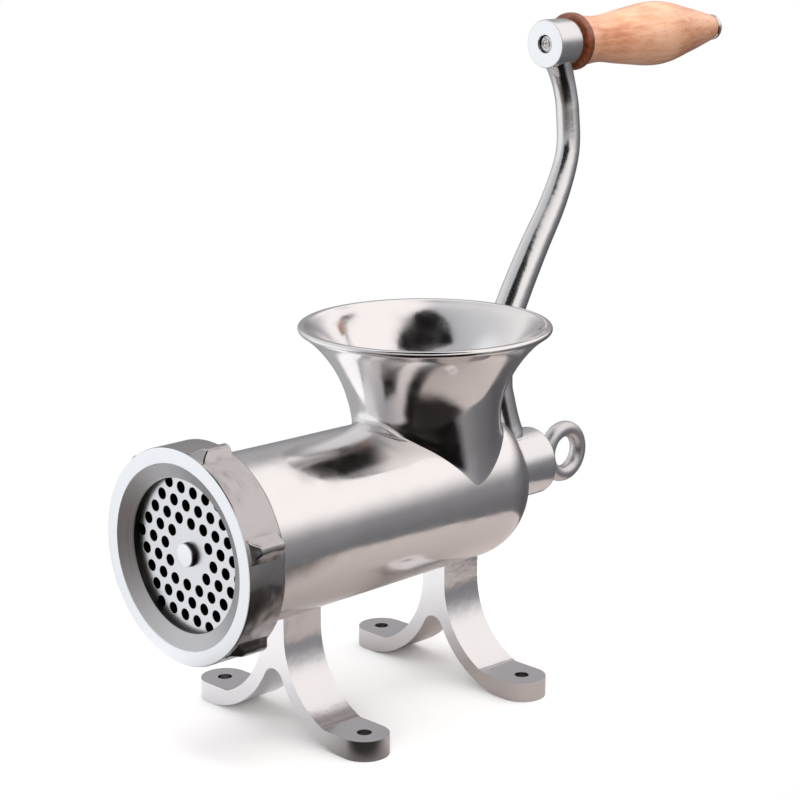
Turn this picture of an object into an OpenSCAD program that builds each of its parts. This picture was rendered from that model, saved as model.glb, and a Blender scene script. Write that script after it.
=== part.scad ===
// Hand crank meat grinder with a trumpet hopper, two pairs of bolt-down legs and a
// crank with a wooden grip.
// +Z is up, the grinding plate faces -Y and the crank is at +Y.
// Origin: centre of the four foot bolt holes, on the underside of the feet.
// Along the barrel, stations are measured from the front face of the ring nut.

/* [Stance] */
// Height of the barrel axis above the underside of the feet
axis_h = 89.5; // [84:0.5:120]
// Bolt hole spacing across the object
bolt_x = 91; // [80:1:130]
// Bolt hole spacing along the object
bolt_y = 97; // [80:1:130]
// Front face of the ring nut to the front row of bolt holes
front_overhang = 62; // [55:1:80]

/* [Barrel] */
// Outer radius of the barrel behind the ring nut
barrel_front_r = 37; // [36:0.5:42]
// Outer radius of the barrel where the dome starts
barrel_rear_r = 35.5; // [34:0.5:41]
// Radius of the bore that the feed screw runs in
bore_r = 30; // [24:0.5:31]
// Station where the rear dome starts
dome_s = 162.5; // [155:0.5:200]
// Radius of the rounding of the rear dome
dome_r = 27; // [20:0.5:30]
// Radius of the flat end of the dome
dome_end_r = 17; // [16:0.5:22]
// Radius of the threaded head under the ring nut
head_r = 40; // [38:0.5:45]

/* [Hopper] */
// Station of the hopper axis
hopper_s = 142.5; // [125:0.5:150]
// Height of the rim above the barrel axis
hopper_h = 76; // [70:1:110]
// Outer radius of the rim
rim_r = 56.4; // [45:0.5:58]
// Height of the rolled rim
rim_h = 3; // [2:0.5:6]
// Outer radius of the neck where it meets the barrel
neck_r = 28; // [26:0.5:32]
// Outer radius of the neck where the flare starts
throat_r = 32.5; // [28:0.5:36]
// Height of the start of the flare above the barrel axis
flare_z = 27; // [20:1:34]
// Wall of the hopper
hopper_wall = 3.5; // [2.5:0.5:5]

/* [Ring nut] */
// Outer radius of the ring nut
nut_r = 46; // [44:0.5:55]
// Length of the ring nut
nut_l = 20; // [18:0.5:30]
// Radius of the recess at the front face
recess_r = 39.4; // [36:0.2:41]
// Radius of the lip that holds the plate
lip_r = 32.7; // [30:0.1:33.5]
// Depth of the cone from the face to the lip
cone_d = 3.3; // [2:0.1:5]
// Number of grip lugs
lug_n = 6; // [4:1:8]
// Height of a grip lug
lug_h = 3; // [1:0.5:5]
// Length of the sloping front end of a lug
lug_slope = 5; // [2:0.5:10]
// Turn of the first lug from level, clockwise from the front
lug_turn = 45; // [0:1:60]

/* [Plate and knife] */
// Outer radius of the grinding plate
plate_r = 35; // [33:0.1:36.5]
// Thickness of the grinding plate
plate_t = 8; // [6:0.5:10]
// Station of the front face of the plate
plate_s = 6.5; // [5:0.5:9]
// Radius of a hole in the plate
hole_r = 2.5; // [1.5:0.1:3]
// Distance between neighbouring holes
hole_pitch = 7.8; // [7:0.1:10]
// Turn of the hole pattern
hole_turn = 7.2; // [0:0.1:60]
// Radius swept by the knife
knife_r = 31.5; // [26:0.5:32]
// Thickness of the knife
knife_t = 7; // [5:0.5:10]
// Width of the square that drives the knife
knife_sq = 13; // [11:0.5:15]
// Radius of the stud that runs in the plate
stud_r = 5; // [4:0.5:6]
// Length of the stud in front of the plate
stud_out = 2.6; // [1:0.1:4]
// Radius of the key pin that stops the plate from turning
key_r = 2; // [1.5:0.5:2.5]

/* [Feed screw] */
// Pitch of the flight
flight_pitch = 34; // [24:1:44]
// Thickness of the flight along the axis
flight_t = 6; // [4:0.5:9]
// Radius of the core at the front
core_front_r = 16; // [12:0.5:18]
// Radius of the core at the rear
core_rear_r = 12; // [11:0.5:14]
// Radius of the journal in the rear bush
journal_r = 10.95; // [9:0.05:12]
// Width of the square tang that carries the crank
tang_sq = 15; // [12:0.5:15]
// Wall of the rear bush
bush_wall = 3; // [2:0.5:4]
// Length of the rear bush inside the dome
bush_l = 16; // [10:1:18]
// Thickness of the thrust washer
thrust_t = 1.2; // [0.8:0.1:3]

/* [Crank] */
// Distance from the barrel axis to the grip axis
crank_r = 191.3; // [150:1:230]
// Lean of the crank at rest, from upright, away from the +X side
crank_lean = 8; // [0:1:45]
// Radius of the crank hub
hub_r = 15.8; // [14:0.2:20]
// Length of the crank hub
hub_l = 23.6; // [20:0.2:30]
// Radius of the boss that carries the grip
boss_r = 11.3; // [9:0.1:16]
// Length of the boss
boss_l = 15; // [12:0.5:20]
// Distance from the hub's middle to the boss's middle, along the barrel axis
crank_offset = 52.9; // [40:0.1:70]
// Radius of the arm at the hub
arm_low_r = 7.3; // [6:0.1:9]
// Radius of the arm at the boss
arm_top_r = 5.5; // [4:0.1:8]

/* [Eye screw] */
// Outer radius of the eye
eye_r = 14.6; // [12:0.2:20]
// Radius of the eye's round bar
eye_bar_r = 3.8; // [2:0.1:4.4]
// Radius of the screw
eye_screw_r = 5; // [4:0.5:5.5]
// Length of the screw in the tang
eye_screw_l = 16; // [10:1:25]

/* [Grip] */
// Length of the wooden grip with its collar
grip_l = 106; // [90:1:130]
// Largest radius of the grip
grip_r = 15.5; // [13:0.5:18]
// Radius of the neck of the grip
grip_neck_r = 11; // [9:0.5:12]
// Radius of the free end of the grip
grip_end_r = 6.2; // [5.5:0.1:9]
// Radius of the collar next to the crank
collar_r = 13.6; // [11.5:0.2:16]
// Length of the collar
collar_l = 4.6; // [3:0.2:8]
// Radius of the bolt through the grip
bolt_r = 4; // [3:0.5:5]
// Radius of the bolt's domed head
bolt_head_r = 6.3; // [5.5:0.1:8]
// Height of the bolt's domed head
bolt_head_h = 4.2; // [3:0.2:6]
// Depth of the recess that shows the bolt's riveted end
rivet_recess = 2; // [1:0.5:4]

/* [Legs] */
// Width of a leg along the object
leg_w = 21.5; // [18:0.5:30]
// Thickness of a foot at its bolt hole
foot_t = 9; // [7:0.5:10]
// Thickness of the curved leg
leg_t = 6.4; // [5:0.1:8]
// Half width of the neck that meets the barrel
neck_half = 7; // [6:0.5:10]
// Height of the crotch above the underside of the feet
crotch_h = 28; // [22:0.5:34]
// Radius of a bolt hole
bolt_hole_r = 3.2; // [2.5:0.1:5]

/* [Hidden] */

$fn = 96;
eps = 0.02;
// Radial clearance of a shaft that turns in a hole
run_gap = 0.05;
// Gap between faces that turn past each other
face_gap = 0.1;
// Gap between the feed screw's flight and the bore
flight_gap = 0.6;
// Break of a sharp turned edge
edge = 0.6;

front_y = -(bolt_y / 2 + front_overhang);
rear_bolt_s = front_overhang + bolt_y;

plate_back_s = plate_s + plate_t;
mouth_s = plate_s + 2;
knife_s = plate_back_s + face_gap;
screw_s = knife_s + knife_t + 1;
head_end_s = nut_l - 1;
knife_room_r = knife_r + 1.5;

dome_axis_r = barrel_rear_r - dome_r;
dome_end_s = dome_s + sqrt(pow(dome_r, 2) - pow(dome_end_r - dome_axis_r, 2));
dome_in_r = bore_r - dome_axis_r;
bush_r = journal_r + run_gap + bush_wall;
bush_s = dome_end_s - bush_l;
bush_flange_t = 1.8;
hub_s = dome_end_s + bush_flange_t + face_gap;
hub_end_s = hub_s + hub_l;
thrust_s = bush_s - thrust_t - eps;
shoulder_s = thrust_s - face_gap;
flight_end_s = dome_s - 4;

boss_s = hub_s + hub_l / 2 + crank_offset - boss_l / 2;
washer_t = 1;
collar_s = boss_s + boss_l + washer_t + face_gap;
grip_end_s = collar_s + grip_l;

// Places a shape drawn along +Z onto the barrel axis, with z as the station.
module on_axis(s = 0) {
    translate([0, front_y + s, axis_h]) rotate([-90, 0, 0]) children();
}

// Places a shape drawn along +Z onto the grip axis, with z as the station.
module on_grip(s = 0) {
    translate([0, front_y + s, axis_h]) rotate([0, -crank_lean, 0])
        translate([0, 0, crank_r]) rotate([-90, 0, 0]) children();
}

// Points of an arc, in a plane, from angle a to angle b.
function arc(cx, cy, r, a, b, n = 16) =
    [for (i = [0 : n]) let (t = a + (b - a) * i / n) [cx + r * cos(t), cy + r * sin(t)]];

// Smooth value between p1 and p2 of a row of four, at t from 0 to 1.
function smooth4(p0, p1, p2, p3, t) =
    0.5 * (2 * p1 + (p2 - p0) * t + (2 * p0 - 5 * p1 + 4 * p2 - p3) * t * t
    + (3 * p1 - p0 - 3 * p2 + p3) * t * t * t);

// Smooth curve through a list of points, with n steps between neighbours.
function smooth_path(p, n) = concat(
    [for (i = [0 : len(p) - 2], k = [0 : n - 1])
        smooth4(p[max(i - 1, 0)], p[i], p[i + 1], p[min(i + 2, len(p) - 1)], k / n)],
    [p[len(p) - 1]]);

// ---- Body casting: barrel, rear dome and hopper in one piece ----

// Outline of the barrel's outside, as radius and station.
function barrel_outline() = concat(
    [[0, mouth_s], [head_r - edge, mouth_s], [head_r, mouth_s + edge], [head_r, head_end_s],
     [barrel_front_r, head_end_s]],
    arc(dome_axis_r, dome_s, dome_r, 0, acos((dome_end_r - dome_axis_r) / dome_r)),
    [[0, dome_end_s]]);

module barrel_outside() {
    rotate_extrude() polygon(barrel_outline());
}

// Outline of the trumpet at an offset d inwards from its outer face.
flare_d = hopper_h - rim_h - flare_z;
flare_out = rim_r - 1.5 - throat_r;
flare_r = (pow(flare_d, 2) + pow(flare_out, 2)) / (2 * flare_out);
flare_a = asin(flare_d / flare_r);
function trumpet(d) = concat(
    [[neck_r - d, 8], [throat_r - d, flare_z]],
    arc(throat_r + flare_r, flare_z, flare_r + d, 180, 180 - flare_a));

module hopper_outside() {
    translate([0, front_y + hopper_s, axis_h]) rotate_extrude() union() {
        polygon(concat([[0, 8]], trumpet(0), [[0, hopper_h - rim_h]]));
        translate([0, hopper_h - rim_h]) square([rim_r - rim_h / 2, rim_h]);
        translate([rim_r - rim_h / 2, hopper_h - rim_h / 2]) circle(r = rim_h / 2);
    }
}

module hopper_inside() {
    translate([0, front_y + hopper_s, axis_h]) rotate_extrude()
        polygon(concat([[0, 0], [neck_r - hopper_wall, 0]], trumpet(hopper_wall),
            [[rim_r - rim_h, hopper_h + 1], [0, hopper_h + 1]]));
}

module body_casting() {
    color("silver") difference() {
        union() {
            on_axis() barrel_outside();
            hopper_outside();
        }
        hopper_inside();
        // plate seat, knife room and feed screw bore
        on_axis(mouth_s - 1) cylinder(r = plate_r + run_gap, h = plate_back_s - mouth_s + 1);
        on_axis(plate_back_s - eps) cylinder(r = knife_room_r, h = screw_s - plate_back_s + 2);
        on_axis(screw_s) difference() {
            rotate_extrude() polygon(concat([[0, 0], [bore_r, 0]],
                arc(dome_axis_r, dome_s - screw_s, dome_in_r, 0,
                    acos((dome_end_r - dome_axis_r) / dome_in_r)),
                [[0, dome_s - screw_s + sqrt(pow(dome_in_r, 2)
                    - pow(dome_end_r - dome_axis_r, 2))]]));
            translate([0, 0, bush_s - screw_s]) cylinder(r = dome_end_r, h = bush_l);
        }
        on_axis(bush_s - 1) cylinder(r = bush_r, h = bush_l + 2);
        // hole for the key pin in the plate seat
        on_axis(0) key_place() translate([0, 0, plate_s]) cylinder(r = key_r, h = plate_t + 6);
    }
}

// ---- Legs: each pair is one wishbone, welded under the barrel ----

arch_x = bolt_x / 2;
arch_in_r = arch_x - neck_half + leg_t;
arch_out_r = arch_x - neck_half;
arch_z = arch_in_r;
crotch_r = (pow(arch_x, 2) + pow(arch_z - crotch_h, 2) - pow(arch_in_r, 2))
    / (2 * (arch_in_r - arch_z + crotch_h));
crotch_z = crotch_h - crotch_r;

// Outline of one leg pair seen from the front, with z = 0 at the underside.
module wishbone() {
    difference() {
        union() {
            translate([-neck_half, crotch_z])
                square([2 * neck_half, axis_h - dome_end_r - crotch_z]);
            translate([-arch_x, 0]) square([2 * arch_x, arch_z]);
            translate([-arch_x - leg_w / 2, 0]) square([2 * arch_x + leg_w, foot_t]);
        }
        for (m = [-1, 1]) translate([m * arch_x, 0]) difference() {
            union() {
                translate([0, arch_z]) circle(r = arch_out_r, $fn = 128);
                translate([m > 0 ? 0 : -leg_w, foot_t]) square([leg_w, arch_z]);
            }
            translate([-arch_in_r, -1]) square([2 * arch_in_r, foot_t + 1]);
        }
        difference() {
            translate([-arch_x, -1]) square([2 * arch_x, crotch_z + 1]);
            for (m = [-1, 1]) translate([m * arch_x, arch_z]) circle(r = arch_in_r, $fn = 128);
        }
        translate([0, crotch_z]) circle(r = crotch_r, $fn = 48);
    }
}

module leg_pair(s) {
    difference() {
        translate([0, front_y + s + leg_w / 2, 0]) rotate([90, 0, 0])
            linear_extrude(leg_w) wishbone();
        // rounded ends of the feet
        for (m = [-1, 1]) translate([m * arch_x, front_y + s, -1]) difference() {
            translate([m > 0 ? 0 : -leg_w, -leg_w]) cube([leg_w, 2 * leg_w, foot_t + 2]);
            cylinder(r = leg_w / 2, h = foot_t + 2);
        }
        for (m = [-1, 1]) translate([m * arch_x, front_y + s, -1])
            cylinder(r = bolt_hole_r, h = foot_t + 2);
        on_axis() barrel_outside();
    }
}

module front_legs() { color("gainsboro") leg_pair(front_overhang); }

module rear_legs() { color("lightgray") leg_pair(rear_bolt_s); }

// ---- Ring nut: six-lugged nut that holds the plate in the barrel ----

// Every lug's section, with its root sunk in the nut and its crest at the top.
module lug_section() {
    crest = nut_r + lug_h;
    polygon([[nut_r - 2.5, -7.5], [crest - 0.6, -2.1], [crest, -1.1], [crest, 1.1],
        [crest - 0.6, 2.1], [nut_r - 2.5, 7.5]]);
}

module ring_nut() {
    lug_end = nut_l - 2.2;
    color("whitesmoke") on_axis() {
        rotate_extrude() polygon([[recess_r, 0], [nut_r - edge, 0], [nut_r, edge],
            [nut_r, nut_l - 1.5], [nut_r - 1.5, nut_l], [head_r + run_gap, nut_l],
            [head_r + run_gap, mouth_s - face_gap], [plate_r + 0.5, mouth_s - face_gap],
            [plate_r + 0.5, plate_s], [lip_r, plate_s], [lip_r, cone_d]]);
        // lugs, each with a front end that slopes back from the nut's face
        intersection() {
            for (i = [0 : lug_n - 1]) rotate(i * 360 / lug_n + lug_turn)
                translate([0, 0, edge]) linear_extrude(lug_end - edge) lug_section();
            rotate_extrude() polygon([[nut_r - 3, 0], [nut_r - 0.4, edge + 0.3],
                [nut_r + lug_h + 0.5, edge + lug_slope], [nut_r + lug_h + 0.5, nut_l],
                [nut_r - 3, nut_l]]);
        }
    }
}

// ---- Grinding plate, its key pin, knife and stud ----

// The key pin lies along the barrel axis, at the bottom of the plate's rim.
module key_place() {
    translate([0, plate_r, 0]) children();
}

hole_rings = ceil(plate_r / hole_pitch);
hole_reach = lip_r - 1.2;

module grinding_plate() {
    color("lightsteelblue") on_axis(plate_s) difference() {
        cylinder(r = plate_r, h = plate_t);
        translate([0, 0, -1]) cylinder(r = stud_r + run_gap, h = plate_t + 2);
        rotate(hole_turn) for (i = [-hole_rings : hole_rings], j = [-hole_rings : hole_rings]) {
            x = hole_pitch * (i + j / 2);
            y = hole_pitch * j * sqrt(3) / 2;
            if (norm([x, y]) > 1.5 * hole_pitch && norm([x, y]) < hole_reach)
                translate([x, y, -1]) cylinder(r = hole_r, h = plate_t + 2, $fn = 24);
        }
        key_place() translate([0, 0, -1]) cylinder(r = key_r + run_gap, h = plate_t + 2);
    }
}

module plate_key_pin() {
    pin_s = mouth_s + face_gap;
    color("dimgray") on_axis(pin_s) key_place()
        cylinder(r = key_r, h = plate_back_s + 6 - eps - pin_s);
}

module cutter_knife() {
    color("slategray") on_axis(knife_s) difference() {
        linear_extrude(knife_t) union() {
            circle(r = knife_sq * 0.95);
            for (i = [0 : 3]) rotate(90 * i + 20)
                polygon([[0, -6], [knife_r - 5, -4.5], [knife_r, -2], [knife_r - 0.5, 2.5], [12, 8]]);
        }
        translate([-knife_sq / 2 - run_gap, -knife_sq / 2 - run_gap, -1])
            cube([knife_sq + 2 * run_gap, knife_sq + 2 * run_gap, knife_t + 2]);
    }
}

module cutter_stud() {
    color("lightgray") on_axis() {
        translate([0, 0, plate_s - stud_out]) difference() {
            cylinder(r = stud_r, h = stud_out + plate_t + face_gap);
            rotate_extrude() polygon([[stud_r - 0.5, -1], [stud_r + 1, -1], [stud_r + 1, 0.5],
                [stud_r, 0.5]]);
        }
        translate([-knife_sq / 2, -knife_sq / 2, knife_s])
            cube([knife_sq, knife_sq, knife_t + 1]);
        translate([0, 0, screw_s]) cylinder(r = knife_sq / 2 - 0.5, h = 18);
    }
}

// ---- Feed screw: core, flight, rear journal and square tang ----

module flight_section() {
    a = 360 * flight_t / flight_pitch;
    polygon(concat([[0, 0]], arc(0, 0, bore_r - flight_gap, 0, a, 8)));
}

module feed_screw() {
    flight_l = flight_end_s - screw_s;
    tang_end_s = hub_end_s - 3;
    color("gray") on_axis() difference() {
        union() {
            translate([0, 0, screw_s]) cylinder(r1 = core_front_r, r2 = core_rear_r, h = flight_l);
            translate([0, 0, screw_s])
                linear_extrude(flight_l, twist = 360 * flight_l / flight_pitch, slices = 84, $fn = 16)
                    flight_section();
            translate([0, 0, flight_end_s - eps])
                cylinder(r1 = core_rear_r, r2 = dome_end_r - 1, h = shoulder_s - flight_end_s - 3);
            translate([0, 0, shoulder_s - 3 - 2 * eps])
                cylinder(r = dome_end_r - 1, h = 3 + 2 * eps);
            translate([0, 0, shoulder_s - 1]) cylinder(r = journal_r, h = hub_s - shoulder_s + 1);
            translate([-tang_sq / 2, -tang_sq / 2, hub_s - face_gap / 2])
                cube([tang_sq, tang_sq, tang_end_s - hub_s + face_gap / 2]);
        }
        translate([0, 0, screw_s - eps]) cylinder(r = knife_sq / 2 - 0.5, h = 18 + eps);
        translate([0, 0, hub_end_s - eye_screw_l - 3])
            cylinder(r = eye_screw_r + run_gap, h = eye_screw_l + 4);
    }
}

module rear_bush() {
    color("peru") on_axis(bush_s) difference() {
        union() {
            cylinder(r = bush_r, h = bush_l);
            translate([0, 0, bush_l]) cylinder(r = bush_r + 1, h = bush_flange_t);
        }
        translate([0, 0, -1]) cylinder(r = journal_r + run_gap, h = bush_l + bush_flange_t + 2);
    }
}

module thrust_washer() {
    color("tan") on_axis(thrust_s) difference() {
        cylinder(r = dome_end_r - 1, h = thrust_t);
        translate([0, 0, -1]) cylinder(r = journal_r + run_gap, h = thrust_t + 2);
    }
}

// ---- Crank: hub, curved tapered arm and boss in one forging ----

// Each point of the arm's centre line is its distance from the barrel axis, its distance
// behind the hub's middle and the arm's radius. Places are shares of the crank's length.
hub_mid_s = hub_s + hub_l / 2;
arm_points = [
    [0.03, -0.02, arm_low_r + 1.2],
    [0.11, -0.06, arm_low_r + 0.6],
    [0.21, -0.135, arm_low_r],
    [0.31, -0.05, arm_low_r],
    [0.40, 0.165, arm_low_r - 0.1],
    [0.51, 0.47, arm_low_r - 0.5],
    [0.62, 0.80, (arm_low_r + arm_top_r) / 2 - 0.2],
    [0.73, 1.03, arm_top_r + 0.1],
    [0.83, 1.08, arm_top_r],
    [0.92, 1.055, arm_top_r],
    [0.985, 1.0, arm_top_r + 0.3]
];
arm_curve = smooth_path([for (p = arm_points)
    [p[0] * crank_r, p[1] * crank_offset, p[2]]], 4);
arm_sides = 20;

function arm_slope(i) = let (a = arm_curve[max(i - 1, 0)],
    b = arm_curve[min(i + 1, len(arm_curve) - 1)]) atan2(b[1] - a[1], b[0] - a[0]);

// One ring of the arm: a circle square to the centre line, in x, station and height.
function arm_ring(i) = let (c = arm_curve[i], t = arm_slope(i))
    [for (k = [0 : arm_sides - 1]) let (u = 360 * k / arm_sides)
        [c[2] * cos(u), c[1] + c[2] * sin(u) * cos(t), c[0] - c[2] * sin(u) * sin(t)]];

module arm_bar() {
    n = len(arm_curve);
    m = arm_sides;
    points = [for (i = [0 : n - 1]) each arm_ring(i)];
    sides = [for (i = [0 : n - 2], k = [0 : m - 1])
        [i * m + k, (i + 1) * m + k, (i + 1) * m + (k + 1) % m, i * m + (k + 1) % m]];
    polyhedron(points, concat([[for (k = [0 : m - 1]) k]], sides,
        [[for (k = [m - 1 : -1 : 0]) (n - 1) * m + k]]), convexity = 6);
}

module crank_arm() {
    color("silver") difference() {
        union() {
            on_axis(hub_s) rotate_extrude() polygon([[0, 0], [hub_r - 1, 0], [hub_r, 1],
                [hub_r, hub_l - 1], [hub_r - 1, hub_l], [0, hub_l]]);
            translate([0, front_y + hub_mid_s, axis_h]) rotate([0, -crank_lean, 0]) arm_bar();
            on_grip(boss_s) rotate_extrude() polygon([[0, 0], [boss_r - edge, 0],
                [boss_r, edge], [boss_r, boss_l - edge], [boss_r - edge, boss_l], [0, boss_l]]);
        }
        on_axis(hub_s) translate([-tang_sq / 2 - run_gap, -tang_sq / 2 - run_gap, -1])
            cube([tang_sq + 2 * run_gap, tang_sq + 2 * run_gap, hub_l + 2]);
        on_grip(boss_s - 1) cylinder(r = bolt_r, h = boss_l + 2);
        on_grip(boss_s - 1) cylinder(r = bolt_r + 0.4, h = rivet_recess + 1);
    }
}

module eye_screw() {
    collar_t = 3;
    eye_s = hub_end_s + collar_t + 3.5 + eye_r;
    color("silver") on_axis() union() {
        translate([0, 0, hub_end_s + face_gap - eye_screw_l - 1])
            cylinder(r = eye_screw_r, h = eye_screw_l + 2);
        translate([0, 0, hub_end_s + face_gap]) cylinder(r = 11, h = collar_t - face_gap);
        translate([0, 0, hub_end_s + collar_t - eps])
            cylinder(r1 = 6, r2 = 3.4, h = 3.5 + eye_bar_r);
        translate([0, 0, eye_s]) rotate([0, 90, 0])
            rotate_extrude() translate([eye_r - eye_bar_r, 0]) circle(r = eye_bar_r, $fn = 40);
    }
}

// ---- Grip: a turned grip that spins on a bolt riveted into the boss ----

module grip_bolt() {
    shank_s = boss_s + rivet_recess - 1;
    color("silver") on_grip() {
        translate([0, 0, shank_s])
            cylinder(r = bolt_r, h = grip_end_s + face_gap - shank_s + eps);
        translate([0, 0, grip_end_s + face_gap]) rotate_extrude() polygon(concat(
            [[0, 0], [bolt_head_r, 0], [bolt_head_r, bolt_head_h * 0.45]],
            [for (i = [1 : 8]) [bolt_head_r * cos(i * 11.25),
                bolt_head_h * (0.45 + 0.55 * sin(i * 11.25))]]));
    }
}

module grip_washer() {
    color("darkgray") on_grip(boss_s + boss_l) difference() {
        cylinder(r = boss_r - 1.5, h = washer_t);
        translate([0, 0, -1]) cylinder(r = bolt_r, h = washer_t + 2);
    }
}

module grip_collar() {
    color("saddlebrown") on_grip(collar_s) difference() {
        rotate_extrude() polygon([[0, 0], [collar_r - 1.2, 0], [collar_r, 1.2],
            [collar_r, collar_l - 1.2], [collar_r - 1.2, collar_l], [0, collar_l]]);
        translate([0, 0, -1]) cylinder(r = bolt_r + run_gap, h = collar_l + 2);
    }
}

module wooden_grip() {
    wood_l = grip_l - collar_l;
    profile = smooth_path([[grip_neck_r + 1.4, 0], [grip_neck_r, 0.15 * wood_l],
        [grip_neck_r + 0.5 * (grip_r - grip_neck_r), 0.33 * wood_l], [grip_r, 0.58 * wood_l],
        [grip_r - 0.45 * (grip_r - grip_end_r), 0.8 * wood_l], [grip_end_r, wood_l]], 6);
    color("burlywood") on_grip(collar_s + collar_l) difference() {
        rotate_extrude() polygon(concat([[0, 0]], profile, [[0, wood_l]]));
        translate([0, 0, -1]) cylinder(r = bolt_r + run_gap, h = wood_l + 2);
    }
}

body_casting();
front_legs();
rear_legs();
plate_key_pin();
rear_bush();
thrust_washer();
ring_nut();
grinding_plate();
cutter_knife();
cutter_stud();
feed_screw();
crank_arm();
eye_screw();
grip_bolt();
grip_washer();
grip_collar();
wooden_grip();
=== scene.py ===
import math

import bpy
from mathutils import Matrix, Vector


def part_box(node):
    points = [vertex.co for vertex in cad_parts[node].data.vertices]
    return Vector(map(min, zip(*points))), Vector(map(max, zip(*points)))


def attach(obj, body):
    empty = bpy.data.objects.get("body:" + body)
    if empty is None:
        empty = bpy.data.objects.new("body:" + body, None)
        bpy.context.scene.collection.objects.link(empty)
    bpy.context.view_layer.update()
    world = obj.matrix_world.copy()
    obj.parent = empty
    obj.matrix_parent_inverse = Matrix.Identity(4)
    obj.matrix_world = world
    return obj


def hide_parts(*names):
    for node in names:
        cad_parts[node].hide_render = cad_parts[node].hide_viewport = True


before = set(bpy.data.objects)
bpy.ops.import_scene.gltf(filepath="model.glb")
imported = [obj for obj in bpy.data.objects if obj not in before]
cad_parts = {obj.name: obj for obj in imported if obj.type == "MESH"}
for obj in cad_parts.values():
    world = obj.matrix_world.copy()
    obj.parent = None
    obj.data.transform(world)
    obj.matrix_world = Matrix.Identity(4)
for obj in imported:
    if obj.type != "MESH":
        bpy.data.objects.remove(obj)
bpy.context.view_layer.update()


# ---- Camera, floor and studio light ----
# A table-top product shoot: a long lens at a little over barrel height, a pale floor
# that runs out to white, a surround for the steel to mirror, and soft lamps for the rest.

bpy.context.scene.view_settings.view_transform = "Standard"

camera_data = bpy.data.cameras.new("studio_camera")
camera_data.lens = 105.7
camera_data.clip_start = 0.01
camera = bpy.data.objects.new("studio_camera", camera_data)
bpy.context.scene.collection.objects.link(camera)
bpy.context.scene.camera = camera
camera.location = (0.7188, -0.6812, 0.3882)
looked_at = Vector((0.0382, -0.0205, 0.14705))
camera.rotation_euler = (looked_at - camera.location).to_track_quat("-Z", "Y").to_euler()


def linear(hex_colour):
    """An sRGB hex colour as a linear RGBA value."""
    parts = [int(hex_colour[i:i + 2], 16) / 255 for i in (1, 3, 5)]
    return [c / 12.92 if c <= 0.04045 else ((c + 0.055) / 1.055) ** 2.4 for c in parts] + [1.0]


def wire(tree, kind, settings=None, links=None):
    """Adds one shader node, with its settings and the outputs that feed its inputs."""
    made = tree.nodes.new("ShaderNode" + kind)
    for name, value in (settings or {}).items():
        if isinstance(name, str) and hasattr(made, name):
            setattr(made, name, value)
        else:
            made.inputs[name].default_value = value
    for name, source in (links or {}).items():
        tree.links.new(source, made.inputs[name])
    return made


def colour_stops(ramp, stops):
    """Gives a colour ramp node its stops, each a place and a colour."""
    band = ramp.color_ramp
    while len(band.elements) < len(stops):
        band.elements.new(1.0)
    for element, (place, value) in zip(band.elements, stops):
        element.position = place
        element.color = value
    return ramp


def new_material(name, settings):
    """A material with one Principled shader, and the tree and shader to build on."""
    made = bpy.data.materials.new(name)
    made.use_nodes = True
    tree = made.node_tree
    shader = tree.nodes["Principled BSDF"]
    for socket, value in settings.items():
        shader.inputs[socket].default_value = value
    return made, tree, shader


def noise(tree, vector, scale, detail, **settings):
    """The value of a noise texture over a vector."""
    return wire(tree, "TexNoise", {"Scale": scale, "Detail": detail, **settings},
        {"Vector": vector}).outputs["Fac"]


def bump(tree, shader, height, strength, distance, under=None, **settings):
    """Bumps a shader's surface by a height, on top of an earlier bump if one is given."""
    links = {"Height": height} if under is None else {"Height": height, "Normal": under}
    made = wire(tree, "Bump", {"Strength": strength, "Distance": distance, **settings}, links)
    tree.links.new(made.outputs["Normal"], shader.inputs["Normal"])
    return made.outputs["Normal"]


def soft_step(tree, vector, direction, low, high, top=1.0):
    """A share that rises smoothly to its top as a vector reaches further one way."""
    reach = wire(tree, "VectorMath", {"operation": "DOT_PRODUCT", 1: direction}, {0: vector})
    return wire(tree, "MapRange", {"interpolation_type": "SMOOTHSTEP", "From Min": low,
        "From Max": high, "To Max": top}, {"Value": reach.outputs["Value"]}).outputs["Result"]


def mixed(tree, share, under, over, **settings):
    """Mixes two colours by a share, each one a value or the output of a node."""
    made = wire(tree, "Mix", {"data_type": "RGBA", **settings}, {0: share})
    for socket, colour in ((6, under), (7, over)):
        if isinstance(colour, bpy.types.NodeSocket):
            tree.links.new(colour, made.inputs[socket])
        else:
            made.inputs[socket].default_value = colour
    return made.outputs[2]


# Painted studio floor, matt and slightly uneven, so that it throws no reflection. Mirror rays see
# it painted dimmer than it looks, as a painted reflection for the steel: grey, with a pale patch
# to one side and a black band towards the camera.
floor_paint, tree, shader = new_material("matt_white_floor_paint", {
    "Base Color": linear("#F7F6F5"), "Roughness": 0.7, "Specular IOR Level": 0.2})
place = wire(tree, "TexCoord").outputs["Object"]
bump(tree, shader, noise(tree, place, 90.0, 3.0), 0.05, 0.0005)
# Painted reflection: what mirror rays see of the floor, darker than what the camera sees.
mirrored_black_band = soft_step(tree, place, (0.72, -0.69, 0), 0.055, 0.09)
mirrored_pale_patch = soft_step(tree, place, (-0.7, -0.7, 0), -0.02, 0.07)
mirrored_grey_tone = mixed(tree, mirrored_pale_patch, linear("#B9B1AD"), linear("#F1F1F3"))
mirrored_floor_tone = mixed(tree, mirrored_black_band, mirrored_grey_tone, linear("#191513"))
ray = wire(tree, "LightPath")
shown = mixed(tree, ray.outputs["Is Glossy Ray"], linear("#F7F6F5"), mirrored_floor_tone)
tree.links.new(shown, shader.inputs["Base Color"])

floor_r = 0.2
bpy.ops.object.select_all(action="DESELECT")
bpy.ops.mesh.primitive_circle_add(vertices=96, radius=floor_r, fill_type="NGON")
studio_floor = bpy.context.object
studio_floor.name = "studio_floor"
studio_floor.data.materials.append(floor_paint)

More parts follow.
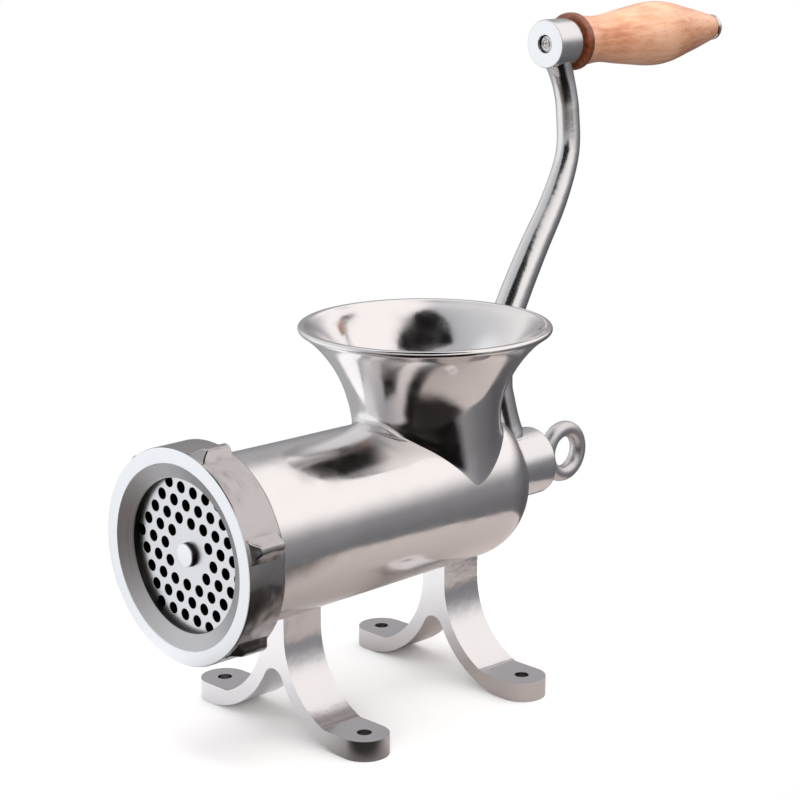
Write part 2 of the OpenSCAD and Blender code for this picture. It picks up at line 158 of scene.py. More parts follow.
# A black card lies flat over the hopper, for its inside to mirror. Only mirror rays see it.
card_place = (0.1, -0.055, 0.37)
card_paint, tree, shader = new_material("black_card", {
    "Base Color": linear("#151212"), "Roughness": 0.9, "Specular IOR Level": 0.0})
bpy.ops.object.select_all(action="DESELECT")
bpy.ops.mesh.primitive_grid_add(x_subdivisions=4, y_subdivisions=4, size=0.2,
    location=card_place)
hopper_card = bpy.context.object
hopper_card.name = "hopper_card"
bpy.ops.transform.resize(value=(1.25, 1.05, 1))
bpy.ops.object.transform_apply()
hopper_card.data.materials.append(card_paint)
hopper_card.visible_camera = False
hopper_card.visible_diffuse = False
hopper_card.visible_shadow = False

# The surround is what the steel mirrors. Low down it goes round from a pale left side to
# a brown front, black cloth behind the camera and grey walls, and high up it is white.
# The camera itself sees plain white.
world = bpy.data.worlds.new("studio_surround")
bpy.context.scene.world = world
world.use_nodes = True
tree = world.node_tree
tree.nodes.clear()
toward = wire(tree, "TexCoord").outputs["Generated"]
parts = wire(tree, "SeparateXYZ", {}, {"Vector": toward})
to_front = wire(tree, "Math", {"operation": "MULTIPLY", 1: -1.0}, {0: parts.outputs["Y"]})
bearing = wire(tree, "Math", {"operation": "ARCTAN2"},
    {0: parts.outputs["X"], 1: to_front.outputs["Value"]})
round_share = wire(tree, "MapRange", {"From Min": -math.pi, "From Max": math.pi},
    {"Value": bearing.outputs["Value"]})
walls = colour_stops(wire(tree, "ValToRGB", {}, {"Fac": round_share.outputs["Result"]}), [
    (0.00, linear("#69696D")), (0.11, linear("#737377")), (0.17, linear("#C4C6CA")),
    (0.38, linear("#D9DBDF")), (0.46, linear("#A0948E")), (0.53, linear("#6E635E")),
    (0.575, linear("#151212")), (0.75, linear("#151212")), (0.79, linear("#A3A3A7")),
    (0.87, linear("#8A8A8E")), (1.00, linear("#69696D"))])
low_share = wire(tree, "MapRange", {"From Min": 0.05, "From Max": -0.3, "To Max": 0.8},
    {"Value": parts.outputs["Z"]})
grounded = mixed(tree, low_share.outputs["Result"], walls.outputs["Color"],
    linear("#C6C4C3"), blend_type="MULTIPLY")
high_share = wire(tree, "MapRange", {"interpolation_type": "SMOOTHSTEP", "From Min": -0.02,
    "From Max": 0.40}, {"Value": parts.outputs["Z"]})
high_shade = colour_stops(wire(tree, "ValToRGB", {}, {"Fac": round_share.outputs["Result"]}), [
    (0.00, linear("#FFFBFA")), (0.20, linear("#F2F0F0")), (0.30, linear("#D2D3D6")),
    (0.50, linear("#B2B3B7")), (0.72, linear("#F2EEED")), (0.80, linear("#FFFBFA"))])
ceiling = mixed(tree, high_share.outputs["Result"], grounded, high_shade.outputs["Color"])
bright_share = soft_step(tree, toward, (-0.74, -0.66, 0.05), 0.74, 0.93, 0.97)
brighter = mixed(tree, bright_share, ceiling, linear("#F3F5F8"))
grey_share = soft_step(tree, toward, (-0.68, 0.68, 0.28), 0.80, 0.97, 0.75)
greyed = mixed(tree, grey_share, brighter, linear("#7C7C81"))
mirrored = wire(tree, "Background", {"Strength": 1.25}, {"Color": greyed})
seen = wire(tree, "Background", {"Color": (1.0, 1.0, 1.0, 1.0), "Strength": 1.0})
ray = wire(tree, "LightPath")
either = wire(tree, "MixShader", {}, {0: ray.outputs["Is Camera Ray"],
    1: mirrored.outputs["Background"], 2: seen.outputs["Background"]})
wire(tree, "OutputWorld", {}, {"Surface": either.outputs["Shader"]})


def soft_lamp(name, place, aimed_at, width, height, power):
    """A large soft box at a place, aimed at a point, too diffused for steel to mirror."""
    data = bpy.data.lights.new(name, "AREA")
    data.shape = "RECTANGLE"
    data.size = width
    data.size_y = height
    data.energy = power
    lamp = bpy.data.objects.new(name, data)
    bpy.context.scene.collection.objects.link(lamp)
    lamp.location = place
    lamp.visible_glossy = False
    lamp.rotation_euler = (Vector(aimed_at) - Vector(place)).to_track_quat("-Z", "Y").to_euler()
    return lamp


soft_lamp("soft_box_front_left", (-1.2, -1.3, 1.0), (0, 0, 0.12), 1.0, 0.9, 9)
soft_lamp("soft_box_front_right", (1.1, -1.2, 0.7), (0, 0.1, 0.25), 1.0, 0.9, 14)
soft_lamp("soft_box_overhead", (0.0, 0.1, 1.9), (0, 0, 0.1), 1.8, 1.8, 19)


# ---- Body: barrel, rear dome and hopper, one casting in 304 stainless steel ----
# The real body is cast in one piece, its seat and bore are turned, and its outside is
# buffed to a mirror that still shows the slow waves of the cast skin.

mm = 0.001
nut_low, nut_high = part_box("ring_nut")
body_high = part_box("body_casting")[1]
front_y = nut_low.y
axis_z = (nut_low.z + nut_high.z) / 2
rim_r = body_high.x / mm
hopper_y = body_high.y - body_high.x
rim_top = (body_high.z - axis_z) / mm
barrel_r = 37.0
barrel_rear_r = 35.5
dome_s = 162.5
dome_r = 27.0
dome_end_r = 17.0
bore_r = 30.0


def arc(cx, cy, r, a, b, n):
    """Points of an arc from angle a to angle b, in degrees."""
    turns = [math.radians(a + (b - a) * i / n) for i in range(n + 1)]
    return [(cx + r * math.cos(t), cy + r * math.sin(t)) for t in turns]


def on_barrel(r, s, x=0.0):
    """A point above the barrel axis, at a radius and a station behind the ring nut's face."""
    return Vector((x * mm, front_y + s * mm, axis_z + r * mm))


def only(*pieces):
    """Selects just these pieces, and makes the last of them active."""
    bpy.ops.object.select_all(action="DESELECT")
    for piece in pieces:
        piece.select_set(True)
    bpy.context.view_layer.objects.active = pieces[-1]


def join(name, *pieces):
    """Joins pieces into the last of them, and names it."""
    only(*pieces)
    bpy.ops.object.join()
    pieces[-1].name = name
    return pieces[-1]


def rod(r, depth, place, vertices, lying=True):
    """A cylinder round a place, lying along the barrel or standing upright."""
    bpy.ops.object.select_all(action="DESELECT")
    bpy.ops.mesh.primitive_cylinder_add(vertices=vertices, radius=r * mm, depth=depth * mm,
        location=place, rotation=(math.pi / 2 if lying else 0, 0, 0))
    return bpy.context.object


def draw(name, points):
    """Draws a chain of edges through the points, and leaves it selected in edit mode."""
    bpy.ops.object.select_all(action="DESELECT")
    bpy.ops.mesh.primitive_plane_add(size=0.001, location=points[0])
    piece = bpy.context.object
    piece.name = name
    piece.data.name = name
    bpy.ops.object.transform_apply()
    bpy.ops.object.mode_set(mode="EDIT")
    bpy.ops.mesh.select_mode(type="VERT")
    bpy.ops.mesh.select_all(action="SELECT")
    bpy.ops.mesh.merge(type="CENTER")
    for start, end in zip(points, points[1:]):
        bpy.ops.mesh.extrude_region_move(TRANSFORM_OT_translate={"value": end - start})
    bpy.ops.mesh.select_all(action="SELECT")
    return piece


def turn(name, points, centre, axis, steps):
    """Turns an outline once round an axis, as on a lathe, and closes it."""
    piece = draw(name, points)
    bpy.ops.mesh.spin(steps=steps, angle=2 * math.pi, center=centre, axis=axis)
    bpy.ops.mesh.select_all(action="SELECT")
    bpy.ops.mesh.remove_doubles(threshold=1e-6)
    bpy.ops.mesh.normals_make_consistent(inside=False)
    bpy.ops.object.mode_set(mode="OBJECT")
    return piece


def modify(piece, kind, **settings):
    """Adds one modifier, sets it and applies it."""
    bpy.context.view_layer.objects.active = piece
    made = piece.modifiers.new(kind.lower(), kind)
    for name, value in settings.items():
        setattr(made, name, value)
    bpy.ops.object.modifier_apply(modifier=made.name)


def cut(piece, cutter):
    """Cuts one solid out of another, and removes the cutter."""
    modify(piece, "BOOLEAN", operation="DIFFERENCE", solver="EXACT", object=cutter)
    bpy.data.objects.remove(cutter)


def smooth(piece, degrees):
    """Shades a piece smooth, apart from edges sharper than an angle."""
    only(piece)
    bpy.ops.object.shade_smooth_by_angle(angle=math.radians(degrees))


def fit(piece, body, slot, *materials):
    """Gives a finished piece its materials and the body it moves with. The slot it is given is not
    used.
    """
    modify(piece, "WEIGHTED_NORMAL", keep_sharp=True)
    for material in materials:
        piece.data.materials.append(material)
    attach(piece, body)


# Buffed stainless steel: a clear mirror, softened by buffing haze, on a slightly wavy
# cast skin. The waves are 15 to 30 mm long, the haze changes over about 8 mm.
buffed_steel, tree, shader = new_material("buffed_stainless_steel", {
    "Base Color": linear("#E0DDDC"), "Metallic": 1.0, "Roughness": 0.16})
place = wire(tree, "TexCoord").outputs["Object"]
haze = wire(tree, "MapRange", {"From Min": 0.35, "From Max": 0.7, "To Min": 0.11,
    "To Max": 0.21}, {"Value": noise(tree, place, 120.0, 5.0)})
tree.links.new(haze.outputs["Result"], shader.inputs["Roughness"])
slow = bump(tree, shader, noise(tree, place, 45.0, 1.0), 0.25, 0.0012)
bump(tree, shader, noise(tree, place, 420.0, 4.0), 0.04, 0.0004, slow)

dome_axis_r = barrel_rear_r - dome_r
dome_turn = math.degrees(math.acos((dome_end_r - dome_axis_r) / dome_r))
dome_end_s = dome_s + dome_r * math.sin(math.radians(dome_turn))
bore_turn = math.degrees(math.acos((dome_end_r - dome_axis_r) / (bore_r - dome_axis_r)))
outside = [(39.4, 8.5), (40.0, 9.1), (40.0, 18.6), (39.6, 19.0), (barrel_r + 0.8, 19.0),
    (barrel_r, 19.8), (barrel_r - 0.6, 70.0), (36.2, 98.0)]
outside += [(dome_axis_r + r, s) for r, s in arc(0, dome_s, dome_r, 0, dome_turn, 28)]
inside = [(14.0, dome_end_s), (14.0, dome_end_s - 16.0), (17.0, dome_end_s - 16.0)]
inside += [(dome_axis_r + r, s) for r, s in
    arc(0, dome_s, bore_r - dome_axis_r, bore_turn, 0, 16)]
inside += [(bore_r, 22.7), (33.0, 22.7), (33.0, 14.5), (35.05, 14.5), (35.05, 8.5), (39.4, 8.5)]
barrel = turn("barrel", [on_barrel(r, s) for r, s in outside + inside],
    on_barrel(0, 0), (0, 1, 0), 160)

# The throat, cut down through the top of the barrel inside the hopper's wall.
throat_cut_r = 31.5
throat_cut_l = 60.0
throat_cutter = rod(throat_cut_r, throat_cut_l, (0, hopper_y, axis_z + 32 * mm), 96, lying=False)
bpy.ops.transform.resize(value=(0.92, 1, 1))
bpy.ops.object.transform_apply()
cut(barrel, throat_cutter)
smooth(barrel, 30)

# The hopper, turned about its own axis. Its lowest rings spread into the casting's
# fillet: each is given how far it reaches forwards, back and sideways, its height, how
# nearly it lies on the barrel, and how square its front flanks are cut, 2 being round.
flare_z = 27.0
throat_r = 32.5
hopper_wall = 3.5
flare_d = rim_top - 3.0 - flare_z
flare_out = rim_r - 1.5 - throat_r
flare_r = (flare_d ** 2 + flare_out ** 2) / (2 * flare_out)
flare_turn = math.degrees(math.asin(flare_d / flare_r))
fillet_rings = [(43.0, 37.2, 34.6, 38.5, 1.0, 1.25), (40.5, 36.6, 34.2, 38.7, 0.96, 1.35),
    (38.0, 35.8, 33.8, 39.0, 0.84, 1.5), (36.0, 35.0, 33.5, 39.5, 0.65, 1.65),
    (34.8, 34.4, 33.6, 40.0, 0.42, 1.8), (34.3, 34.2, 33.8, 40.7, 0.2, 1.9),
    (34.4, 34.4, 34.2, 41.95, 0.06, 2.0)]
flare = arc(throat_r + flare_r, flare_z, flare_r, 180, 180 - flare_turn, 14)
inner_flare = arc(throat_r + flare_r, flare_z, flare_r + hopper_wall, 180 - flare_turn, 180, 12)
rim = arc(rim_r - 1.5, rim_top - 1.5, 1.6, -75, 90, 5)
hopper_outline = [(ring[0], ring[3]) for ring in fillet_rings]
hopper_outline += [p for p in flare if p[1] > 43.5][:-1] + rim
hopper_outline += [(rim_r - 3.2, rim_top), (rim_r - 3.9, rim_top - 0.9)]
hopper_outline += [p for p in inner_flare if 33.0 < p[1] < rim_top - 2.5]
throat_ring = (29.2, 20.0)
hopper_outline += [throat_ring, hopper_outline[0]]
hopper_axis = Vector((0, hopper_y, axis_z))
hopper = turn("hopper", [hopper_axis + Vector((0, -r * mm, z * mm)) for r, z in hopper_outline],
    hopper_axis, (0, 0, 1), 72)


def pick(piece, kind, test):
    """Selects the vertices, edges or faces that pass a test, and enters edit mode."""
    only(piece)
    mesh = piece.data
    for group in (mesh.vertices, mesh.edges, mesh.polygons):
        group.foreach_set("select", [False] * len(group))
    group = {"VERT": mesh.vertices, "EDGE": mesh.edges, "FACE": mesh.polygons}[kind]
    for part in group:
        part.select = test(part)
    bpy.ops.object.mode_set(mode="EDIT")
    bpy.ops.mesh.select_mode(type=kind)


def on_ring(r, z):
    """Tests whether a vertex lies on one ring of the hopper."""
    def test(vertex):
        offset = vertex.co - hopper_axis
        spread = math.hypot(offset.x, offset.y)
        return abs(spread - r * mm) < 2e-6 and abs(offset.z - z * mm) < 2e-6
    return test


def spread_ring(r, z, front, rear, side, group_name, weight, flank=2.0):
    """Reshapes one ring of the hopper, and says how nearly it lies on the barrel."""
    group = hopper.vertex_groups.get(group_name) or hopper.vertex_groups.new(name=group_name)
    pick(hopper, "VERT", on_ring(r, z))
    bpy.ops.object.mode_set(mode="OBJECT")
    for vertex in [v for v in hopper.data.vertices if v.select and v.co.y < hopper_y]:
        x, y = vertex.co.x / (r * mm), (vertex.co.y - hopper_y) / (r * mm)
        pull = (abs(x) ** flank + abs(y) ** flank) ** (-1 / flank)
        vertex.co.x, vertex.co.y = x * pull * r * mm, hopper_y + y * pull * r * mm
    bpy.ops.object.mode_set(mode="EDIT")
    bpy.ops.transform.resize(value=(side / r, (front + rear) / 2 / r, 1),
        center_override=hopper_axis + Vector((0, 0, z * mm)))
    bpy.ops.transform.translate(value=(0, (rear - front) / 2 * mm, 0))
    bpy.ops.object.mode_set(mode="OBJECT")
    group.add([v.index for v in hopper.data.vertices if v.select], weight, "REPLACE")


for front, rear, side, z, weight, flank in fillet_rings:
    spread_ring(front, z, front, rear, side, "fillet", weight, flank)
spread_ring(throat_ring[0], throat_ring[1], 29.2, 29.2, 26.1, "throat", 1.0)

bore_gauge = rod(bore_r, 170.0, on_barrel(0, 120), 160)
for gauge, group in ((barrel, "fillet"), (bore_gauge, "throat")):
    modify(hopper, "SHRINKWRAP", target=gauge, wrap_method="PROJECT", use_project_z=True,
        use_negative_direction=True, use_positive_direction=group == "throat",
        vertex_group=group)
bpy.data.objects.remove(bore_gauge)

# The two hidden rims of the hopper stay sharp, and the rest is rounded.
pick(hopper, "EDGE", lambda edge: False)
bpy.ops.object.mode_set(mode="OBJECT")
hopper_rims = {group.index: set() for group in hopper.vertex_groups}
for vertex in hopper.data.vertices:
    for held in vertex.groups:
        if held.weight > 0.99:
            hopper_rims[held.group].add(vertex.index)
pick(hopper, "EDGE", lambda edge: any(set(edge.vertices) <= rim for rim in hopper_rims.values()))
bpy.ops.transform.edge_crease(value=1.0)
bpy.ops.object.mode_set(mode="OBJECT")
modify(hopper, "SUBSURF", levels=2, render_levels=2)
smooth(hopper, 40)

# The two are one casting, so they are one piece.
barrel = join("body_casting_buffed", hopper, barrel)
fit(barrel, "grinder", "polished_stainless", buffed_steel)
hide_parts("body_casting")


# ---- Legs: two pairs of bolt-down feet, each pair bent from one steel bar ----
# Each pair is a forged stainless wishbone, buffed on its curves with crisp bevelled
# edges, and welded under the barrel. The feet are drilled for screws.

leg_low, leg_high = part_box("front_legs")
leg_w = (leg_high.y - leg_low.y) / mm
bolt_x = (leg_high.x / mm - leg_w / 2) * 2
foot_t = 9.0
leg_t = 6.4
neck_half = 7.0
neck_top = 54.0
crotch_h = 28.0
bolt_hole_r = 3.2
arch_x = bolt_x / 2
arch_in_r = arch_x - neck_half + leg_t
arch_out_r = arch_x - neck_half
crotch_r = (arch_x ** 2 + (arch_in_r - crotch_h) ** 2 - arch_in_r ** 2) / (2 * crotch_h)
crotch_z = crotch_h - crotch_r


def solid(name, points, depth):
    """Fills a closed outline, gives it a depth and makes its normals point outwards."""
    piece = draw(name, points + points[:1])
    bpy.ops.mesh.remove_doubles(threshold=1e-6)
    bpy.ops.mesh.edge_face_add()
    bpy.ops.mesh.extrude_region_move(TRANSFORM_OT_translate={"value": depth})
    bpy.ops.mesh.select_all(action="SELECT")
    bpy.ops.mesh.normals_make_consistent(inside=False)
    bpy.ops.object.mode_set(mode="OBJECT")
    return piece


def bevel_edges(piece, width, segments=3, degrees=30):
    """Breaks the sharp edges of a piece, and shades it smooth."""
    modify(piece, "BEVEL", width=width, segments=segments, limit_method="ANGLE",
        angle_limit=math.radians(degrees), harden_normals=False)
    smooth(piece, 35)


def wishbone_outline():
    """One leg pair seen from the front, as x and height, clockwise from the left toe."""
    toe = arch_x + leg_w / 2
    meet = math.degrees(math.atan2(arch_in_r - crotch_z, arch_x))
    foot_end = math.degrees(math.acos((arch_in_r - foot_t) / arch_out_r))
    right = [(0, neck_top), (neck_half, neck_top)]
    right += arc(arch_x, arch_in_r, arch_out_r, 180, 270 - foot_end, 18)
    right += [(toe, foot_t), (toe, 0)]
    right += arc(arch_x, arch_in_r, arch_in_r, 270, 180 + meet, 16)
    right += arc(0, crotch_z, crotch_r, meet, 90, 8)[1:]
    return right + [(-x, z) for x, z in right[-2:0:-1]]


def leg_pair(name, node):
    """Makes one wishbone, rounded in plan at its toes and drilled for its screws."""
    low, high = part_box(node)
    middle = (low.y + high.y) / 2
    piece = solid(name, [Vector((x * mm, low.y, z * mm)) for x, z in wishbone_outline()],
        Vector((0, high.y - low.y, 0)))
    half = leg_w / 2 - 0.01
    plan_points = arc(arch_x, 0, half, -90, 90, 24) + arc(-arch_x, 0, half, 90, 270, 24)
    plan = solid("toe_plan", [Vector((x * mm, middle + y * mm, -0.01)) for x, y in plan_points],
        Vector((0, 0, 0.08)))
    modify(piece, "BOOLEAN", operation="INTERSECT", solver="EXACT", object=plan)
    bpy.data.objects.remove(plan)
    for side in (-1, 1):
        cut(piece, rod(bolt_hole_r, 30.0, (side * arch_x * mm, middle, 5 * mm), 48, lying=False))
    bevel_edges(piece, 0.0011, segments=4)
    return piece


# Ground and buffed forging: a mirror like the body's, with finer, livelier waves from
# the belt grinder, and a little more haze than the turned parts.
forged_steel, tree, shader = new_material("buffed_forged_stainless", {
    "Base Color": linear("#DAD8D8"), "Metallic": 1.0, "Roughness": 0.19})
place = wire(tree, "TexCoord").outputs["Object"]
slow = bump(tree, shader, noise(tree, place, 110.0, 2.0), 0.3, 0.0007)
bump(tree, shader, noise(tree, place, 700.0, 4.0), 0.06, 0.0003, slow)

for name, node in (("front_legs_buffed", "front_legs"), ("rear_legs_buffed", "rear_legs")):
    legs = leg_pair(name, node)
    fit(legs, "grinder", "polished_stainless", forged_steel)
    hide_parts(node)


# ---- Ring nut: the six-lugged nut that holds the plate in the barrel ----
# A stainless casting, faced and bored on the lathe and buffed round its side. The face
# keeps the lathe's fine rings, and the cone inside it is left a duller grey.

nut_r = 46.0
nut_l = (nut_high.y - nut_low.y) / mm
recess_r = 39.4
lip_r = 32.7
cone_d = 3.3
plate_s = 6.5
lug_n = 6
lug_h = 3.0
lug_turn = 45.0
lug_slope = 5.0

nut_outline = [(recess_r, 0.25), (recess_r + 0.25, 0.0), (nut_r - 0.7, 0.0), (nut_r - 0.2, 0.2),
    (nut_r, 0.7), (nut_r, nut_l - 1.6), (nut_r - 0.35, nut_l - 0.9), (nut_r - 1.3, nut_l),
    (40.1, nut_l), (40.1, 8.45), (35.5, 8.45), (35.5, plate_s), (lip_r, plate_s),
    (lip_r, cone_d + 0.3), (lip_r + 0.25, cone_d), (recess_r, 0.25)]
ring_nut = turn("ring_nut_turned", [on_barrel(r, s) for r, s in nut_outline],
    on_barrel(0, 0), (0, 1, 0), 192)
smooth(ring_nut, 30)


def lug(number):
    """One grip lug: a ridge with hollow flanks, its front end sloping back from the face."""
    root = nut_r - 1.5
    flank = [(0.0, 7.0), (1.2, 5.2), (1.9, 3.9), (lug_h, 2.7), (lug_h + 0.9, 2.0),
        (lug_h + 1.4, 1.2), (lug_h + 1.5, 0.4)]
    section = [(root + rise, x) for rise, x in flank]
    section = [(r, -x) for r, x in section] + section[::-1]
    piece = solid(f"lug_{number}", [on_barrel(r, 0.7, x) for r, x in section],
        Vector((0, (nut_l - 2.9) * mm, 0)))
    pick(piece, "VERT", lambda vertex: vertex.co.y < front_y + 1.0 * mm
        and vertex.co.z - axis_z > (nut_r - 0.9) * mm)
    bpy.ops.mesh.select_mode(type="VERT")
    bpy.ops.object.mode_set(mode="OBJECT")
    for vertex in [v for v in piece.data.vertices if v.select]:
        rise = (vertex.co.z - axis_z) / mm - (nut_r - 0.9)
        vertex.co.y += rise / (lug_h + 0.9) * lug_slope * mm
    modify(piece, "BEVEL", width=0.7 * mm, segments=4, limit_method="ANGLE",
        angle_limit=math.radians(40))
    pick(piece, "VERT", lambda vertex: True)
    bpy.ops.transform.rotate(value=-math.radians(lug_turn + 90 + 360 / lug_n * number),
        orient_axis="Y", center_override=on_barrel(0, 0))
    bpy.ops.object.mode_set(mode="OBJECT")
    smooth(piece, 40)
    return piece


lugs = [lug(number) for number in range(lug_n)]


def from_axis(tree):
    """The distance from the barrel axis, and the place along it."""
    place = wire(tree, "TexCoord").outputs["Object"]
    centred = wire(tree, "Mapping", {"Location": (0, 0, -axis_z)}, {"Vector": place})
    parts = wire(tree, "SeparateXYZ", {}, {"Vector": centred.outputs["Vector"]})
    flat = wire(tree, "CombineXYZ", {}, {"X": parts.outputs["X"], "Y": parts.outputs["Z"]})
    radius = wire(tree, "VectorMath", {"operation": "LENGTH"}, {0: flat.outputs["Vector"]})
    return radius.outputs["Value"], parts.outputs["Y"]


def lathe_rings(tree, shader, place, scale, detail, strength, distance):
    """Bumps a shader with the rings of a lathe tool, which follow one value."""
    rings = wire(tree, "TexNoise", {"noise_dimensions": "1D", "Scale": scale,
        "Detail": detail}, {"W": place})
    bump(tree, shader, rings.outputs["Fac"], strength, distance)


# Lathe-faced steel, seen end on: rings 0.4 mm apart (drawn that coarse so that they
# show) over a satin that blurs what it mirrors.
faced_steel, tree, shader = new_material("lathe_faced_stainless", {
    "Base Color": linear("#E9EAEC"), "Metallic": 1.0, "Roughness": 0.3})
radius, depth = from_axis(tree)
along = wire(tree, "Math", {"operation": "ADD"}, {0: radius, 1: depth})
lathe_rings(tree, shader, along.outputs["Value"], 2500.0, 2.0, 0.12, 0.0002)

# The nut's side is turned and only lightly buffed, so it is greyer than the barrel, with
# faint marks round it.
nut_steel, tree, shader = new_material("turned_buffed_stainless", {
    "Base Color": linear("#B3AFAE"), "Metallic": 1.0, "Roughness": 0.22})
place = wire(tree, "TexCoord").outputs["Object"]
round_marks = wire(tree, "Mapping", {"Scale": (25, 1100, 25)}, {"Vector": place})
slow = bump(tree, shader, noise(tree, place, 60.0, 2.0), 0.6, 0.0016)
bump(tree, shader, noise(tree, round_marks.outputs["Vector"], 1.0, 3.0), 0.1, 0.0002, slow)

# The cone inside the face: coarser turning marks, duller and greyer.
cone_steel, tree, shader = new_material("rough_turned_stainless", {
    "Base Color": linear("#B9B8B9"), "Metallic": 1.0, "Roughness": 0.38})
lathe_rings(tree, shader, from_axis(tree)[0], 1600.0, 3.0, 0.25, 0.0003)

ring_nut = join("ring_nut_turned", *lugs, ring_nut)

# The lip's bore, behind the cone, is left as bored and dull, and its dark colour is painted shade.
# The same painted shade darkens the plate's hole walls, the stud's side, the knife and the hub's
# front face.
recess_shade_steel, tree, shader = new_material("steel_painted_recess_shade", {
    "Base Color": linear("#3A3735"), "Metallic": 1.0, "Roughness": 0.5})
fit(ring_nut, "nut", "turned_stainless", nut_steel, faced_steel, cone_steel, recess_shade_steel)
for face in ring_nut.data.polygons:
    offset = face.center - on_barrel(0, 0)
    r = math.hypot(offset.x, offset.z) / mm
    if offset.y < 0.3 * mm and r > recess_r:
        face.material_index = 1
    # Painted shade: the lip's bore is dark.
    elif r < lip_r + 0.1:
        face.material_index = 3
    elif r < recess_r and offset.y < 8 * mm:
        face.material_index = 2
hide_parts("ring_nut")


# ---- Grinding plate, its stud and the knife behind it ----
# The plate is a hardened stainless disc, drilled with 5 mm holes in a hexagonal lattice
# and surface ground flat. The feed screw's stud runs in its middle and carries the knife.

plate_r = 35.0
plate_t = 8.0
hole_r = 2.5
hole_pitch = 7.8
hole_turn = 7.2
stud_r = 5.0
stud_out = 2.6
knife_square = 13.0

plate_mid_s = plate_s + plate_t / 2
plate = rod(plate_r - 0.02, plate_t, on_barrel(0, plate_mid_s), 128)
plate.name = "grinding_plate_ground"
bpy.ops.object.transform_apply()
holes = [(0.0, 0.0, stud_r + 0.05)]
a = math.radians(hole_turn)
for i in range(-5, 6):
    for j in range(-5, 6):
        x, z = hole_pitch * (i + j / 2), hole_pitch * j * math.sqrt(3) / 2
        if 1.5 * hole_pitch < math.hypot(x, z) < lip_r - 1.2:
            holes.append((x * math.cos(a) - z * math.sin(a),
                -(x * math.sin(a) + z * math.cos(a)), hole_r))
drills = [rod(r, 20.0, on_barrel(z, plate_mid_s, x), 32) for x, z, r in holes]
drill = join("plate_drills", *drills)
only(drill)
bpy.ops.object.transform_apply()
cut(plate, drill)
bevel_edges(plate, 0.22 * mm, segments=2)

# Surface-ground steel: straight grinding marks across the disc, under a soft satin.
ground_steel, tree, shader = new_material("surface_ground_stainless", {
    "Base Color": linear("#DEDEE1"), "Metallic": 1.0, "Roughness": 0.34})
place = wire(tree, "TexCoord").outputs["Object"]
drawn_out = wire(tree, "Mapping", {"Rotation": (0, math.radians(35), 0),
    "Scale": (60, 900, 1500)}, {"Vector": place})
bump(tree, shader, noise(tree, drawn_out.outputs["Vector"], 1.0, 3.0), 0.12, 0.0002)

# The drilled holes are left as bored, and their walls are painted dark as the shade inside them.
fit(plate, "grinder", "ground_stainless", ground_steel, recess_shade_steel)
for face in plate.data.polygons:
    offset = face.center - on_barrel(0, 0)
    if abs(face.normal.y) < 0.2 and math.hypot(offset.x, offset.z) < (plate_r - 1) * mm:
        face.material_index = 1
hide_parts("grinding_plate")


def square_bar(side, start_s, end_s):
    """A square bar on the barrel axis between two stations, with its edges broken."""
    bpy.ops.object.select_all(action="DESELECT")
    bpy.ops.mesh.primitive_cube_add(size=side * mm, location=on_barrel(0, (start_s + end_s) / 2))
    bar = bpy.context.object
    bpy.ops.transform.resize(value=(1, (end_s - start_s) / side, 1))
    bpy.ops.object.transform_apply()
    bevel_edges(bar, 0.5 * mm, segments=2)
    return bar


stud_s = plate_s - stud_out
plate_end_s = plate_s + plate_t
stud_outline = [(0, stud_s), (stud_r - 0.6, stud_s), (stud_r - 0.15, stud_s + 0.15),
    (stud_r, stud_s + 0.6), (stud_r, plate_end_s), (stud_r - 0.2, plate_end_s + 0.1),
    (0, plate_end_s + 0.1)]
stud = turn("cutter_stud_turned", [on_barrel(r, s) for r, s in stud_outline],
    on_barrel(0, 0), (0, 1, 0), 64)
smooth(stud, 40)
stud = join("cutter_stud_turned",
    square_bar(knife_square, plate_end_s + 0.2, plate_end_s + 8.2), stud)
fit(stud, "crank", "turned_stainless", faced_steel, recess_shade_steel)
# Painted shade: the stud's side and the square bar's sides are dark.
for face in stud.data.polygons:
    if abs(face.normal.y) < 0.2:
        face.material_index = 1
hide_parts("cutter_stud")


# ---- Feed screw, rear bush and thrust washer ----
# A cast stainless screw with a single flight, seen down the hopper's throat. It runs in
# a bronze bush pressed into the dome, against a nylon washer.

screw_low, screw_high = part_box("feed_screw")
screw_s = (screw_low.y - front_y) / mm
flight_pitch = 34.0
flight_t = 6.0
flight_r = 29.2
flight_end_s = dome_s - 4.0
journal_r = 10.95
tang = 15.0
shoulder_r = dome_end_r - 1.0
shoulder_s = (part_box("thrust_washer")[0].y - front_y) / mm - 0.02
journal_end_s = (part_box("rear_bush")[1].y - front_y) / mm + 0.1
tang_end_s = (screw_high.y - front_y) / mm
core_outline = [(0, screw_s), (14.6, screw_s), (15.8, screw_s + 1.0), (12.0, flight_end_s),
    (shoulder_r, shoulder_s - 3.0), (shoulder_r, shoulder_s), (journal_r, shoulder_s),
    (journal_r, journal_end_s), (0, journal_end_s)]
core = turn("feed_screw_core", [on_barrel(r, s) for r, s in core_outline],
    on_barrel(0, 0), (0, 1, 0), 96)
smooth(core, 40)
flight_section = [(9.0, 0.3), (14.0, 0.2), (24.0, 0.1), (flight_r - 0.8, 0.3), (flight_r, 1.1),
    (flight_r, flight_t - 1.1), (flight_r - 0.8, flight_t - 0.3), (24.0, flight_t - 0.1),
    (14.0, flight_t - 0.2), (9.0, flight_t - 0.3)]
turns = (flight_end_s - screw_s - flight_t) / flight_pitch
flight = draw("feed_screw_flight", [on_barrel(r, screw_s + s)
    for r, s in flight_section + flight_section[:1]])
bpy.ops.mesh.remove_doubles(threshold=1e-6)
bpy.ops.object.mode_set(mode="OBJECT")
bpy.context.scene.cursor.location = (0, 0, 0)
bpy.ops.object.empty_add(location=on_barrel(0, 0))
screw_axis = bpy.context.object
